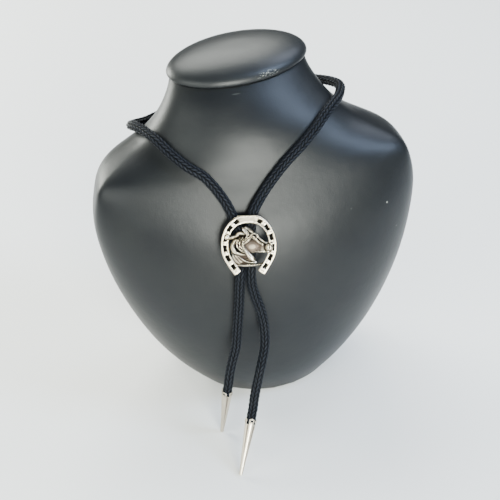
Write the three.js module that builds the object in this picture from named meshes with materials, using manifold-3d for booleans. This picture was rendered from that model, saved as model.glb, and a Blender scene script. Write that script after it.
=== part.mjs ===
// A bolo tie on a plain neck bust: a braided cord, a cast horseshoe slide and two cone tips.
// Millimetres, +Z up. The bust faces -Y, and the origin is at the middle of its flat base.
import * as THREE from 'three';
import { mergeVertices } from 'three/addons/utils/BufferGeometryUtils.js';
import Module from 'manifold-3d';

const wasm = await Module();
wasm.setup();

// Driving dimensions
const gap = 0.3; // between pieces that touch
const bust = { height: 197, halfWidth: 96.4, depth: 100, around: 40, between: 3 };
const cap = { overhang: 2.2, height: 11.5, edge: 1.8, around: 40 };
const cord = { radius: 2.85, sides: 10 };
const shoe = {
  halfWidth: 15.5, halfHeight: 17, thickness: 3, bevel: 0.4, steps: 46,
  web: 4.3, toeWeb: 5.0, // widths of a branch and of the toe
  toe: 16.3, // from the middle to the toe's flat edge
  wideTo: 2, narrowFrom: 14, // along a branch from the toe, between which it narrows
};
const groove = {
  width: 2.25, depth: 1.1, inward: 0.15, // off the branch's middle line
  fromToe: 6.4, toHeel: 2.8, steps: 18,
};
const nail = {
  pitch: 2.95, barLength: 2.2, barWidth: 1.5, crossLength: 2.1, crossWidth: 1.8, crossSlot: 0.55,
  sunk: 0.2, slotDepth: 0.6, root: 0.2, // under the shoe's face, in a cross, in the groove's floor
};
// The middle of the slide's back hangs at this X and share of the bust's height. It leans back
// with the chest and some more, and its clip stays clear of the chest.
const slide = { x: -12.9, up: 0.6477, turn: -10, lean: 6, spin: -1, clear: 1.2 };
const clip = { wall: 0.8, length: 10, offset: -1.9, rise: -0.5 };
const tip = {
  length: 33.5, end: 0.95, wall: 0.35, cup: 3.6, play: 0.2, // play is round the cord
  lobes: 4, lobeHeight: 2.4, hole: 0.75, holeDown: 1.5, flute: 0.32, fluteFrom: 0.3, perLobe: 8,
};

// The cord's route, from the clip over the left side of the chest, round the neck and back,
// and each end from the clip into its tip. The last two points of an end are the crown of its
// tip and a point on the tip's axis.
const routes = {
  cord_neck_loop: [
    [-17.4, -50.3, 124.4], [-17.1, -48.8, 126.8], [-16.9, -46.1, 131], [-18.1, -43.1, 135.2],
    [-19.3, -39.7, 139.9], [-22.7, -34.9, 147.5], [-31.4, -27, 158.8], [-40.4, -21.8, 164.4],
    [-47.5, -15, 169.2], [-54.7, -4.7, 173.9], [-61, 8, 174.2], [-65, 16.5, 172],
    [-65.8, 25, 167.3], [-62.5, 32, 163.5], [-56, 37.5, 161], [-46, 42.5, 161],
    [-30, 45.2, 163], [-10, 46, 166], [10, 46.2, 168.5], [28, 45.2, 170.5],
    [42, 41.5, 172.5], [50.5, 35, 174.3], [56, 27, 176.5], [58.3, 18.5, 178.5],
    [56.6, 11, 179.4], [53.7, 4.8, 179.6], [48.6, -2.4, 179.7], [43.3, -8.2, 178.2],
    [34.9, -16, 173.5], [25.8, -22, 168], [15.3, -26.9, 161.3], [6, -31.4, 153.8],
    [-1.7, -36, 146.6], [-7, -41, 141.3], [-9.2, -44.5, 135.5], [-10.6, -47.2, 130.9],
    [-11.2, -49.9, 126.7], [-11.5, -51.4, 124.3],
  ],
  cord_end_left: [
    [-17.5, -50.6, 124], [-18, -53.1, 120.1], [-18.7, -56.2, 115], [-19.3, -57.9, 110],
    [-20, -58.2, 104.5], [-21.1, -59, 93], [-22.5, -59.8, 80.6], [-23.6, -60.7, 71.8],
    [-25.3, -62.3, 60.4], [-28.2, -64.4, 52.2], [-30.7, -67, 44.8], [-32.3, -69, 38.4],
    [-33.2, -69.2, 33.4], [-33.7, -69.3, 30.3],
  ],
  cord_end_right: [
    [-11.6, -51.7, 123.9], [-12.2, -54.1, 120], [-13, -57.3, 114.9], [-13.6, -59, 109.5],
    [-13.5, -59.2, 104], [-12, -59.9, 95], [-10, -60.8, 87], [-8.5, -61.6, 78.4],
    [-8.1, -63.9, 69.6], [-9.3, -68.3, 62], [-11.8, -72.6, 56.2], [-14.5, -76.5, 50],
    [-17.1, -79.2, 42.6], [-19.1, -81.2, 35.5], [-21, -83.7, 27.8], [-22.7, -86.8, 24.25],
    [-23.8, -88.8, 22],
  ],
};
const steps = { cord_neck_loop: 44, cord_end_left: 14, cord_end_right: 16 };

// Sections of the bust from the base up. Heights are shares of its height, half widths and shifts
// along X of its half width, and the places along Y of the side line, the front and the back are
// shares of its depth. Square is how square the back corners are, and turn is in degrees about Z.
const bustSections = [
  { height: 0, half: 0.453, side: -0.05, front: -0.41, back: 0.4, square: 3, turn: 0, shift: 0 },
  { height: 0.086, half: 0.594, side: -0.08, front: -0.49, back: 0.4, square: 3, turn: 0, shift: 0 },
  { height: 0.203, half: 0.74, side: -0.11, front: -0.55, back: 0.4, square: 3, turn: 0, shift: 0 },
  { height: 0.348, half: 0.87, side: -0.12, front: -0.58, back: 0.4, square: 3, turn: 0, shift: 0 },
  { height: 0.487, half: 0.958, side: -0.11, front: -0.55, back: 0.4, square: 3, turn: 0, shift: 0 },
  { height: 0.629, half: 1, side: -0.11, front: -0.45, back: 0.4, square: 3, turn: 0, shift: 0 },
  { height: 0.726, half: 0.974, side: -0.12, front: -0.34, back: 0.4, square: 3, turn: 0, shift: 0 },
  { height: 0.777, half: 0.927, side: -0.09, front: -0.28, back: 0.4, square: 3, turn: 0, shift: 0 },
  { height: 0.81, half: 0.813, side: -0.03, front: -0.245, back: 0.4, square: 2.8, turn: 0, shift: 0 },
  { height: 0.848, half: 0.661, side: 0.05, front: -0.21, back: 0.41, square: 2.5, turn: 0, shift: 0 },
  { height: 0.904, half: 0.533, side: 0.12, front: -0.145, back: 0.425, square: 2.2, turn: 1.5,
    shift: -0.006 },
  { height: 0.965, half: 0.448, side: 0.22, front: -0.04, back: 0.485, square: 2, turn: 8, shift: -0.01 },
  { height: 1, half: 0.425, side: 0.297, front: 0.042, back: 0.552, square: 2, turn: 12, shift: -0.003 },
];

// The middle line of one branch of the horseshoe, from the heel to the toe, as shares of its half
// width and half height.
const branchLine = [
  { x: 0.425, y: -0.94 }, { x: 0.66, y: -0.62 }, { x: 0.825, y: -0.32 }, { x: 0.87, y: -0.03 },
  { x: 0.825, y: 0.28 }, { x: 0.67, y: 0.57 }, { x: 0.4, y: 0.78 }, { x: 0, y: 0.86 },
];

// The raised lines of the horse's head and mane. Each follows three to five points, shares of the
// shoe's half width and half height; its widths at the start, middle and end are shares of the
// half width, and its foot and crest are shares of the shoe's thickness.
const ridges = [
  { of: 'crest', points: [[-0.13, 0.33], [-0.3, 0.38], [-0.46, 0.31]],
    start: 0.08, middle: 0.15, end: 0.1, foot: 0.3, crest: 1.35 },
  { of: 'tuft', points: [[-0.36, 0.31], [-0.53, 0.262], [-0.68, 0.242], [-0.84, 0.262]],
    start: 0.1, middle: 0.13, end: 0.26, foot: 0.3, crest: 1.45 },
  { of: 'outer crescent', points: [[-0.44, 0.19], [-0.585, 0.0], [-0.53, -0.2],
    [-0.332, -0.305], [-0.058, -0.335]],
    start: 0.08, middle: 0.22, end: 0.04, foot: 0.3, crest: 1.15 },
  { of: 'middle crescent', points: [[-0.315, 0.24], [-0.42, 0.013], [-0.34, -0.15],
    [-0.178, -0.255], [-0.024, -0.33]],
    start: 0.06, middle: 0.11, end: 0.04, foot: 0.3, crest: 1.2 },
  { of: 'inner crescent', points: [[-0.2, 0.25], [-0.33, 0.059], [-0.25, -0.12],
    [-0.11, -0.235]],
    start: 0.06, middle: 0.1, end: 0.05, foot: 0.3, crest: 1.25 },
  { of: 'long lock', points: [[-0.17, 0.2], [-0.235, 0.012], [-0.15, -0.159],
    [0.01, -0.347], [0.21, -0.545]],
    start: 0.08, middle: 0.2, end: 0.13, foot: 0.3, crest: 1.5 },
  { of: 'lower lock', points: [[-0.418, -0.331], [-0.264, -0.487], [-0.041, -0.573],
    [0.233, -0.616]],
    start: 0.06, middle: 0.12, end: 0.06, foot: 0.3, crest: 1.15 },
  { of: 'chest lock', points: [[-0.59, -0.316], [-0.53, -0.503], [-0.332, -0.644]],
    start: 0.05, middle: 0.14, end: 0.08, foot: 0.3, crest: 0.95 },
  { of: 'ledge', points: [[-0.56, -0.665], [-0.024, -0.698], [0.53, -0.655]],
    start: 0.1, middle: 0.11, end: 0.1, foot: 0, crest: 1.1 },
  { of: 'nose ridge', points: [[0.147, 0.216], [0.318, 0.114], [0.507, -0.034]],
    start: 0.07, middle: 0.09, end: 0.05, foot: 0.6, crest: 1.25 },
  { of: 'nose top', points: [[0.37, 0.2], [0.48, 0.12], [0.62, 0.03]],
    start: 0.07, middle: 0.09, end: 0.06, foot: 0.5, crest: 1.15 },
  { of: 'cheek strap', points: [[0.134, 0.291], [-0.024, 0.137], [-0.19, 0.009]],
    start: 0.09, middle: 0.13, end: 0.09, foot: 0.5, crest: 1.35 },
  { of: 'brow band', points: [[-0.127, 0.177], [-0.01, 0.185], [0.096, 0.23]],
    start: 0.05, middle: 0.06, end: 0.05, foot: 0.5, crest: 1.25 },
  { of: 'near ear', points: [[0.02, 0.29], [-0.1, 0.42], [-0.233, 0.57]],
    start: 0.12, middle: 0.2, end: 0.04, foot: 0, crest: 1.2 },
  { of: 'far ear', points: [[0.199, 0.341], [0.053, 0.458], [-0.11, 0.6]],
    start: 0.1, middle: 0.14, end: 0.03, foot: 0, crest: 1.05 },
  { of: 'forelock', points: [[0.06, 0.3], [0.2, 0.35], [0.353, 0.29]],
    start: 0.08, middle: 0.12, end: 0.04, foot: 0, crest: 1.2 },
  { of: 'jaw', points: [[-0.024, -0.19], [0.25, -0.235], [0.627, -0.261]],
    start: 0.05, middle: 0.08, end: 0.05, foot: 0.2, crest: 0.95 },
];

// Round swellings of the head, with the same shares.
const domes = [
  { of: 'cheek', x: 0.12, y: -0.07, wide: 0.34, tall: 0.24, foot: 0.45, crest: 1.1 },
  { of: 'muzzle', x: 0.735, y: -0.11, wide: 0.17, tall: 0.15, foot: 0.5, crest: 1.45 },
  { of: 'chin', x: 0.69, y: -0.235, wide: 0.1, tall: 0.06, foot: 0.4, crest: 1.2 },
];

// The plates that carry the relief: outlines in the same shares, and their thickness.
const plates = [
  { of: 'head', top: 0.8, outline: [[0.13, 0.36], [0.318, 0.294], [0.43, 0.2], [0.558, 0.067],
    [0.695, 0.056], [0.84, 0.005], [0.88, -0.128], [0.81, -0.23], [0.687, -0.292],
    [0.627, -0.269], [0.267, -0.253], [0.079, -0.23], [-0.041, -0.159], [-0.127, -0.081],
    [-0.195, 0.122], [-0.041, 0.33]] },
  { of: 'neck', top: 0.45, outline: [[-0.03, 0.341], [-0.3, 0.33], [-0.5, 0.22], [-0.63, 0.05],
    [-0.655, -0.128], [-0.63, -0.284], [-0.6, -0.44], [-0.53, -0.66], [-0.024, -0.7],
    [0.25, -0.67], [0.219, -0.56], [-0.007, -0.3], [-0.127, -0.081]] },
];

// Plain helpers

const lerp = THREE.MathUtils.lerp;
const rad = THREE.MathUtils.degToRad;

// A closed skin over rings of equal length, with both ends closed round their middles.
function loft(rings) {
  const count = rings[0].length;
  const positions = rings.flat().flatMap((p) => [p.x, p.y, p.z]);
  const index = [];
  for (let i = 0; i + 1 < rings.length; i++) {
    for (let j = 0; j < count; j++) {
      const a = i * count + j;
      const b = i * count + ((j + 1) % count);
      index.push(a, b, b + count, a, b + count, a + count);
    }
  }
  for (const [ring, flip] of [[0, true], [rings.length - 1, false]]) {
    const middle = new THREE.Vector3();
    rings[ring].forEach((p) => middle.addScaledVector(p, 1 / count));
    const centre = positions.length / 3;
    positions.push(middle.x, middle.y, middle.z);
    for (let j = 0; j < count; j++) {
      const a = ring * count + j;
      const b = ring * count + ((j + 1) % count);
      index.push(...(flip ? [b, a, centre] : [a, b, centre]));
    }
  }
  return outward(asGeometry(positions, index));
}

function asGeometry(positions, index) {
  const geometry = new THREE.BufferGeometry();
  geometry.setAttribute('position', new THREE.Float32BufferAttribute(positions, 3));
  geometry.setIndex(index);
  return geometry;
}

// Turns a closed geometry's faces outward.
function outward(geometry) {
  const at = geometry.attributes.position;
  const index = [...geometry.index.array];
  const [a, b, c] = [new THREE.Vector3(), new THREE.Vector3(), new THREE.Vector3()];
  let volume = 0;
  for (let i = 0; i < index.length; i += 3) {
    a.fromBufferAttribute(at, index[i]);
    b.fromBufferAttribute(at, index[i + 1]);
    c.fromBufferAttribute(at, index[i + 2]);
    volume += a.dot(b.cross(c));
  }
  if (volume < 0) {
    index.reverse();
    geometry.setIndex(index);
  }
  return geometry;
}

// A closed geometry as a solid that can be joined and cut.
function solid(geometry) {
  const bare = geometry.clone();
  bare.deleteAttribute('normal');
  bare.deleteAttribute('uv');
  const merged = mergeVertices(bare, 1e-5);
  return new wasm.Manifold(new wasm.Mesh({
    numProp: 3,
    vertProperties: new Float32Array(merged.attributes.position.array),
    triVerts: new Uint32Array(merged.index.array),
  }));
}

function fromSolid(body) {
  const mesh = body.getMesh();
  return asGeometry([...mesh.vertProperties], [...mesh.triVerts]);
}

// A value at a share along a column of a table, on a smooth curve through its rows.
function along(rows, column, share) {
  const points = rows.map((row, i) => new THREE.Vector2(i, row[column]));
  return new THREE.SplineCurve(points).getPoint(share).y;
}

function finish(color, roughness, metalness) {
  return new THREE.MeshStandardMaterial({ color, roughness, metalness });
}

// The bust and its cap

function bustRing(share) {
  const at = (column) => along(bustSections, column, share);
  const half = at('half') * bust.halfWidth;
  const side = at('side') * bust.depth;
  const middle = (at('front') + at('back')) * bust.depth / 2;
  const ring = [];
  for (let i = 0; i < bust.around; i++) {
    const angle = (i / bust.around) * 2 * Math.PI;
    const [s, c] = [Math.sin(angle), Math.cos(angle)];
    const power = 2 / (c > 0 ? 2 : at('square'));
    const reach = (c > 0 ? at('front') : at('back')) * bust.depth - side;
    const point = new THREE.Vector2(
      half * Math.sign(s) * Math.abs(s) ** power,
      side + reach * Math.abs(c) ** power,
    );
    point.rotateAround(new THREE.Vector2(0, middle), rad(at('turn')));
    point.x += at('shift') * bust.halfWidth;
    ring.push(new THREE.Vector3(point.x, point.y, at('height') * bust.height));
  }
  return ring;
}

// The place along Y of the chest's surface, in front of the side line.
function chestFront(x, z) {
  let share = 0;
  for (let step = 0.5; step > 1e-9; step /= 2) {
    if (along(bustSections, 'height', share + step) * bust.height < z) share += step;
  }
  const [side, front] = ['side', 'front'].map((c) => along(bustSections, c, share) * bust.depth);
  const across = x / (along(bustSections, 'half', share) * bust.halfWidth);
  return side + (front - side) * Math.sqrt(1 - across ** 2);
}

function neckBust() {
  const count = (bustSections.length - 1) * bust.between;
  return loft(Array.from({ length: count + 1 }, (_, i) => bustRing(i / count)));
}

// The cap follows the oval of the neck's top: a tight lower edge under a low, full dome.
function neckCap() {
  const top = bustSections.at(-1);
  const halfWidth = top.half * bust.halfWidth + cap.overhang;
  const halfDepth = (top.back - top.front) * bust.depth / 2 + cap.overhang;
  const oval = (inset, share, z) => Array.from({ length: cap.around }, (_, i) => {
    const angle = (i / cap.around) * 2 * Math.PI;
    return new THREE.Vector3(
      (halfWidth - inset) * share * Math.sin(angle),
      -(halfDepth - inset) * share * Math.cos(angle),
      z,
    );
  });
  const rings = [];
  for (const angle of [0, 30, 60].map(rad)) {
    rings.push(oval(cap.edge * (1 - Math.sin(angle)), 1, cap.edge * (1 - Math.cos(angle))));
  }
  for (const angle of [0, 15, 30, 45, 60, 75].map(rad)) {
    rings.push(oval(0, Math.cos(angle), lerp(cap.edge, cap.height, Math.sin(angle))));
  }
  const cushion = loft(rings);
  cushion.rotateZ(rad(top.turn));
  cushion.translate(
    top.shift * bust.halfWidth,
    (top.back + top.front) * bust.depth / 2,
    bust.height + gap,
  );
  return cushion;
}

// The cord

function cordTube(name) {
  const route = new THREE.CatmullRomCurve3(routes[name].map((p) => new THREE.Vector3(...p)));
  const section = new THREE.Shape(Array.from({ length: cord.sides }, (_, i) => {
    const angle = (i / cord.sides) * 2 * Math.PI;
    return new THREE.Vector2(Math.cos(angle), Math.sin(angle)).multiplyScalar(cord.radius);
  }));
  return new THREE.ExtrudeGeometry(section, {
    steps: steps[name], extrudePath: route, bevelEnabled: false,
  });
}

// The horseshoe

// Both branches' middle line, from the left heel over the toe to the right heel.
const shoeLine = new THREE.SplineCurve([
  ...branchLine.map(({ x, y }) => new THREE.Vector2(-x * shoe.halfWidth, y * shoe.halfHeight)),
  ...branchLine.slice(0, -1).reverse()
    .map(({ x, y }) => new THREE.Vector2(x * shoe.halfWidth, y * shoe.halfHeight)),
]);

const branch = shoeLine.getLength() / 2;

function shoeWidth(share) {
  const fromToe = Math.abs(2 * share - 1) * branch;
  const narrowed = THREE.MathUtils.smoothstep(fromToe, shoe.wideTo, shoe.narrowFrom);
  return lerp(shoe.toeWeb, shoe.web, narrowed);
}

// Sweeps a section of [across, up] points along the shoe's middle line between two shares.
function sweepShoe(from, to, count, sectionAt) {
  return loft(Array.from({ length: count + 1 }, (_, i) => {
    const share = lerp(from, to, i / count);
    const point = shoeLine.getPointAt(share);
    const tangent = shoeLine.getTangentAt(share);
    return sectionAt(share).map(([across, up]) => new THREE.Vector3(
      point.x - tangent.y * across, point.y + tangent.x * across, up,
    ));
  }));
}

function shoeSection(share) {
  const half = shoeWidth(share) / 2;
  const { thickness, bevel } = shoe;
  return [
    [-half, 0], [-half, thickness - bevel], [-half + bevel, thickness],
    [half - bevel, thickness], [half, thickness - bevel], [half, 0],
  ];
}

const grooveFloor = shoe.thickness - groove.depth;

function grooveSection() {
  const [inner, outer] = [-1, 1].map((side) => side * groove.width / 2 - groove.inward);
  const above = shoe.thickness + groove.depth;
  return [[inner, grooveFloor], [inner, above], [outer, above], [outer, grooveFloor]];
}

// A block in the groove, lying along it at a share of the shoe's line.
function blockInGroove(share, length, width, bottom, top, turn = 0) {
  const point = shoeLine.getPointAt(share);
  const tangent = shoeLine.getTangentAt(share);
  const box = new THREE.BoxGeometry(length, width, top - bottom);
  box.rotateZ(turn);
  box.translate(0, -groove.inward, (top + bottom) / 2);
  box.rotateZ(Math.atan2(tangent.y, tangent.x));
  box.translate(point.x, point.y, 0);
  return solid(box);
}

// A plain bar.
function bar(share) {
  const root = grooveFloor - nail.root;
  return blockInGroove(share, nail.barLength, nail.barWidth, root, shoe.thickness - nail.sunk);
}

// A nail head with two crossed slots.
function crossedNail(share) {
  const top = shoe.thickness - nail.sunk;
  const root = grooveFloor - nail.root;
  let head = blockInGroove(share, nail.crossLength, nail.crossWidth, root, top);
  for (const turn of [rad(45), rad(-45)]) {
    const slotLength = 2 * nail.crossLength;
    const slotFloor = top - nail.slotDepth;
    const above = top + nail.slotDepth;
    head = head.subtract(
      blockInGroove(share, slotLength, nail.crossSlot, slotFloor, above, turn),
    );
  }
  return head;
}

// The shoe, with a nail groove in each branch: from the toe, a dark square, then bars and crossed
// nail heads by turns.
function horseshoe() {
  const beyondToe = new THREE.BoxGeometry(2 * shoe.halfWidth, shoe.toeWeb, 2 * shoe.thickness);
  beyondToe.translate(0, shoe.toe + shoe.toeWeb / 2, shoe.thickness / 2);
  let body = solid(sweepShoe(0, 1, shoe.steps, shoeSection)).subtract(solid(beyondToe));
  for (const side of [-1, 1]) {
    const at = (fromToe) => (1 + side * fromToe / branch) / 2;
    const end = branch - groove.toHeel;
    body = body.subtract(
      solid(sweepShoe(at(groove.fromToe), at(end), groove.steps, grooveSection)),
    );
    const room = end - groove.fromToe - nail.barLength / 2;
    for (let k = 1; k * nail.pitch < room; k++) {
      const share = at(groove.fromToe + k * nail.pitch);
      body = body.add(k % 2 === 1 ? bar(share) : crossedNail(share));
    }
  }
  return body;
}

// The horse's head

const onShoe = ([x, y]) => new THREE.Vector2(x * shoe.halfWidth, y * shoe.halfHeight);

// A ridge's rounded section, and the share of its rise that it keeps at its two ends.
const ridgeSection = [[-1, 0], [-0.72, 0.66], [0, 1], [0.72, 0.66], [1, 0]];
const ridgeEnds = 0.75;

function ridge({ points, start, middle, end, foot, crest }) {
  const line = new THREE.SplineCurve(points.map(onShoe));
  const widths = new THREE.QuadraticBezierCurve(
    new THREE.Vector2(0, start),
    new THREE.Vector2(0.5, 2 * middle - (start + end) / 2),
    new THREE.Vector2(1, end),
  );
  const count = 8;
  return loft(Array.from({ length: count + 1 }, (_, i) => {
    const t = i / count;
    const point = line.getPointAt(t);
    const tangent = line.getTangentAt(t);
    const half = widths.getPoint(t).y * shoe.halfWidth / 2;
    const kept = lerp(ridgeEnds, 1, Math.sin(Math.PI * t));
    const rise = (crest - foot) * shoe.thickness * kept;
    return ridgeSection.map(([across, up]) => new THREE.Vector3(
      point.x - tangent.y * across * half,
      point.y + tangent.x * across * half,
      foot * shoe.thickness + up * rise,
    ));
  }));
}

function dome({ x, y, wide, tall, foot, crest }) {
  const count = 5;
  const profile = [new THREE.Vector2(0, 0)];
  for (let i = 0; i <= count; i++) {
    const angle = (i / count) * Math.PI / 2;
    profile.push(new THREE.Vector2(i === count ? 0 : Math.cos(angle), Math.sin(angle)));
  }
  const round = new THREE.LatheGeometry(profile, 16);
  round.rotateX(Math.PI / 2);
  round.scale(wide * shoe.halfWidth, tall * shoe.halfWidth, (crest - foot) * shoe.thickness);
  const [px, py] = onShoe([x, y]).toArray();
  round.translate(px, py, foot * shoe.thickness);
  return round;
}

function plate({ outline, top }) {
  return new THREE.ExtrudeGeometry(new THREE.Shape(outline.map(onShoe)), {
    depth: top * shoe.thickness, bevelEnabled: false,
  });
}

// The horseshoe and the horse's head are one casting.
function slideCasting() {
  let body = horseshoe();
  for (const each of plates) body = body.add(solid(plate(each)));
  for (const each of ridges) body = body.add(solid(ridge(each)));
  for (const each of domes) body = body.add(solid(dome(each)));
  return fromSolid(castSolid(body));
}

// What the relief closes over, such as the groove under the tuft, is filled in a casting.
function castSolid(body) {
  const shells = body.decompose().filter((shell) => shell.volume() > 0);
  return shells.reduce((whole, shell) => whole.add(shell));
}

// The clip behind the casting: a channel round both cords, open toward the casting.
const clipDepth = 2 * cord.radius + 2 * gap + clip.wall;

function slideClip() {
  const half = 2 * cord.radius + 1.5 * gap;
  const top = -gap;
  const floor = top - 2 * cord.radius - gap;
  const under = -clipDepth;
  const channel = new THREE.Shape([
    [-half - clip.wall, under], [half + clip.wall, under], [half + clip.wall, top],
    [half, top], [half, floor], [-half, floor], [-half, top], [-half - clip.wall, top],
  ].map(([x, z]) => new THREE.Vector2(x, z)));
  const body = new THREE.ExtrudeGeometry(channel, { depth: clip.length, bevelEnabled: false });
  body.rotateX(Math.PI / 2);
  body.translate(clip.offset, clip.rise + clip.length / 2, 0);
  return body;
}

// The tips: a cone with a lobed collar round a cup that the cord's end sits in. The crown is at
// the origin and the cone runs down -Z.
function coneTip() {
  const around = tip.lobes * tip.perLobe;
  const lobeAt = (i) => {
    const across = ((i % tip.perLobe) / tip.perLobe) * 2 - 1;
    return Math.sqrt(Math.max(0, 1 - across * across));
  };
  const ring = (radius, height) => Array.from({ length: around }, (_, i) => {
    const angle = (i / around) * 2 * Math.PI;
    const size = radius(lobeAt(i));
    return new THREE.Vector3(size * Math.cos(angle), size * Math.sin(angle), height(lobeAt(i)));
  });
  const rimHeight = (lobe) => -tip.lobeHeight * (1 - lobe);
  const inner = cord.radius + tip.play;
  const rim = inner + tip.wall;
  const below = 1 - (tip.cup + tip.wall) / tip.length; // the share of the cone under its cup
  const rings = [ring(() => tip.end, () => -tip.length)];
  for (const share of [0.4, 0.7, 0.88, 1].map((part) => part * below)) {
    const flute = tip.flute * THREE.MathUtils.smoothstep(share, tip.fluteFrom, below);
    rings.push(ring(
      (lobe) => lerp(tip.end, rim, share) - flute * (1 - lobe),
      () => -tip.length * (1 - share),
    ));
  }
  rings.push(ring(() => rim, rimHeight));
  rings.push(ring(() => inner, rimHeight));
  rings.push(ring(() => inner, () => -tip.cup));
  let body = solid(loft(rings));
  for (let k = 0; k < tip.lobes; k++) {
    const hole = new THREE.CylinderGeometry(tip.hole, tip.hole, rim, 12);
    hole.rotateZ(Math.PI / 2);
    hole.translate(rim, 0, -tip.holeDown);
    hole.rotateZ(((k + 0.5) / tip.lobes) * 2 * Math.PI);
    body = body.subtract(solid(hole));
  }
  return fromSolid(body);
}

// The assembly

const leatherette = finish('#2c3033', 0.42, 0);
const braid = finish('#15171c', 0.75, 0);
const silver = finish('#cfcbc2', 0.3, 1);

function piece(name, geometry, material) {
  const mesh = new THREE.Mesh(geometry, material.clone());
  mesh.name = name;
  return mesh;
}

const bolo = new THREE.Group();
bolo.add(piece('neck_bust', neckBust(), leatherette));
bolo.add(piece('neck_cap', neckCap(), leatherette));
for (const name of Object.keys(routes)) bolo.add(piece(name, cordTube(name), braid));

// The slide faces -Y, turned about Z and leaning back with the chest.
const slideHeight = slide.up * bust.height;
const chestSlope = Math.atan2(
  chestFront(slide.x, slideHeight + clip.length / 2)
    - chestFront(slide.x, slideHeight - clip.length / 2),
  clip.length,
);
const lift = chestSlope + rad(slide.lean);
const slideFront = chestFront(slide.x, slideHeight) - (clipDepth + slide.clear) / Math.cos(lift);
const onChest = new THREE.Group();
onChest.position.set(slide.x, slideFront, slideHeight);
onChest.rotation.z = rad(slide.turn);
const leaning = new THREE.Group();
leaning.rotation.x = Math.PI / 2 - lift;
const spun = new THREE.Group();
spun.rotation.z = rad(slide.spin);
onChest.add(leaning);
leaning.add(spun);
spun.add(piece('slide', slideCasting(), silver));
spun.add(piece('slide_clip', slideClip(), silver));
bolo.add(onChest);

for (const side of ['left', 'right']) {
  const [crown, next] = routes[`cord_end_${side}`].slice(-2).map((p) => new THREE.Vector3(...p));
  const cone = piece(`tip_${side}`, coneTip(), silver);
  cone.position.copy(crown);
  const down = new THREE.Vector3(0, 0, -1);
  cone.quaternion.setFromUnitVectors(down, next.sub(crown).normalize());
  bolo.add(cone);
}

export default bolo;
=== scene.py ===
# %% [markdown]
# This lesson dresses a bolo tie that hangs on a black leatherette neck bust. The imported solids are
# the fixed frame: every new piece is modelled where its solid lies, in metres.

import math

import bpy
import numpy as np
from mathutils import Matrix, Vector


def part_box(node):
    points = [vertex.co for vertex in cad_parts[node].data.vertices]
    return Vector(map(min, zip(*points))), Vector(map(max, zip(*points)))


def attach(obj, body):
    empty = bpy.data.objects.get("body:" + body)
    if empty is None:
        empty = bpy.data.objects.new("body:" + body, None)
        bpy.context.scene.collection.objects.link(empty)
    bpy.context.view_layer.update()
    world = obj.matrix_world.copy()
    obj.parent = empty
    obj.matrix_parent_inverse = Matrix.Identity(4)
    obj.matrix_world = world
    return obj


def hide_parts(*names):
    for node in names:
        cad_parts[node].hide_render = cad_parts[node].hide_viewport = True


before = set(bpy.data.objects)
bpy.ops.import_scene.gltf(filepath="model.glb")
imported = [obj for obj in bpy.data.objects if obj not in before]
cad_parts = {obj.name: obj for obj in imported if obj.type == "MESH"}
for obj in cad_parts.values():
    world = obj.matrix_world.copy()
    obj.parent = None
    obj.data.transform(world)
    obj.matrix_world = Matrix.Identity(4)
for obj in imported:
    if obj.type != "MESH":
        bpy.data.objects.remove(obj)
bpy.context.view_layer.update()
MM = 0.001
print("solids:", ", ".join(sorted(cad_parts)))

# %% [markdown]
# A few helpers keep every later cell short. Operators act on what is selected, so each piece is
# selected alone first, and every colour and every shader node goes through one function.

# %% Small helpers


def deselect():
    """Nothing stays selected, so that the next operator acts on its own piece alone."""
    for each in bpy.context.selected_objects:
        each.select_set(False)


def only(obj):
    """Selects one object and makes it the active one."""
    deselect()
    obj.select_set(True)
    bpy.context.view_layer.objects.active = obj


def apply_modifier(obj, kind, **settings):
    """Adds a modifier with its settings and makes it part of the mesh."""
    only(obj)
    modifier = obj.modifiers.new(kind.title(), kind)
    for key, value in settings.items():
        setattr(modifier, key, value)
    bpy.ops.object.modifier_apply(modifier=modifier.name)


def count_triangles(obj):
    """How many triangles a piece's faces come to."""
    return sum(len(face.vertices) - 2 for face in obj.data.polygons)


def hex_colour(text):
    """An sRGB hex colour as linear red, green, blue and alpha."""
    values = [int(text[i:i + 2], 16) / 255 for i in (1, 3, 5)]
    linear = [v / 12.92 if v <= 0.04045 else ((v + 0.055) / 1.055) ** 2.4 for v in values]
    return (*linear, 1)


def add_node(material, kind, settings=None, values=None, links=None):
    """Adds a shader node, sets its options and sockets, and links other nodes' outputs to it."""
    made = material.node_tree.nodes.new(kind)
    for key, value in (settings or {}).items():
        setattr(made, key, value)
    for socket, value in (values or {}).items():
        made.inputs[socket].default_value = value
    for socket, source in (links or {}).items():
        material.node_tree.links.new(source, made.inputs[socket])
    return made


def new_material(name):
    """A node material without any nodes."""
    material = bpy.data.materials.new(name)
    material.use_nodes = True
    material.node_tree.nodes.clear()
    return material


def close_material(material, shader):
    """Adds the output node, fed by the shader, and gives the finished material."""
    add_node(material, "ShaderNodeOutputMaterial", links={"Surface": shader.outputs["BSDF"]})
    return material


print("helpers ready")

# %% [markdown]
# The camera stands a little left of the front and looks down on the bust. Its place, tilt and
# lens are set first, because every later choice is judged through it.

# %% Camera
LOOK_AT = Vector((0, -0.014, 0.100))
AZIMUTH, ELEVATION, ROLL = math.radians(-10.06), math.radians(37.9), math.radians(-2.69)
DISTANCE = 0.7518
LENS, SENSOR = 90, 36
SHIFT = (-0.018, -0.0236)
SEEN_FROM, SEEN_TO = 0.05, 10


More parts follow.
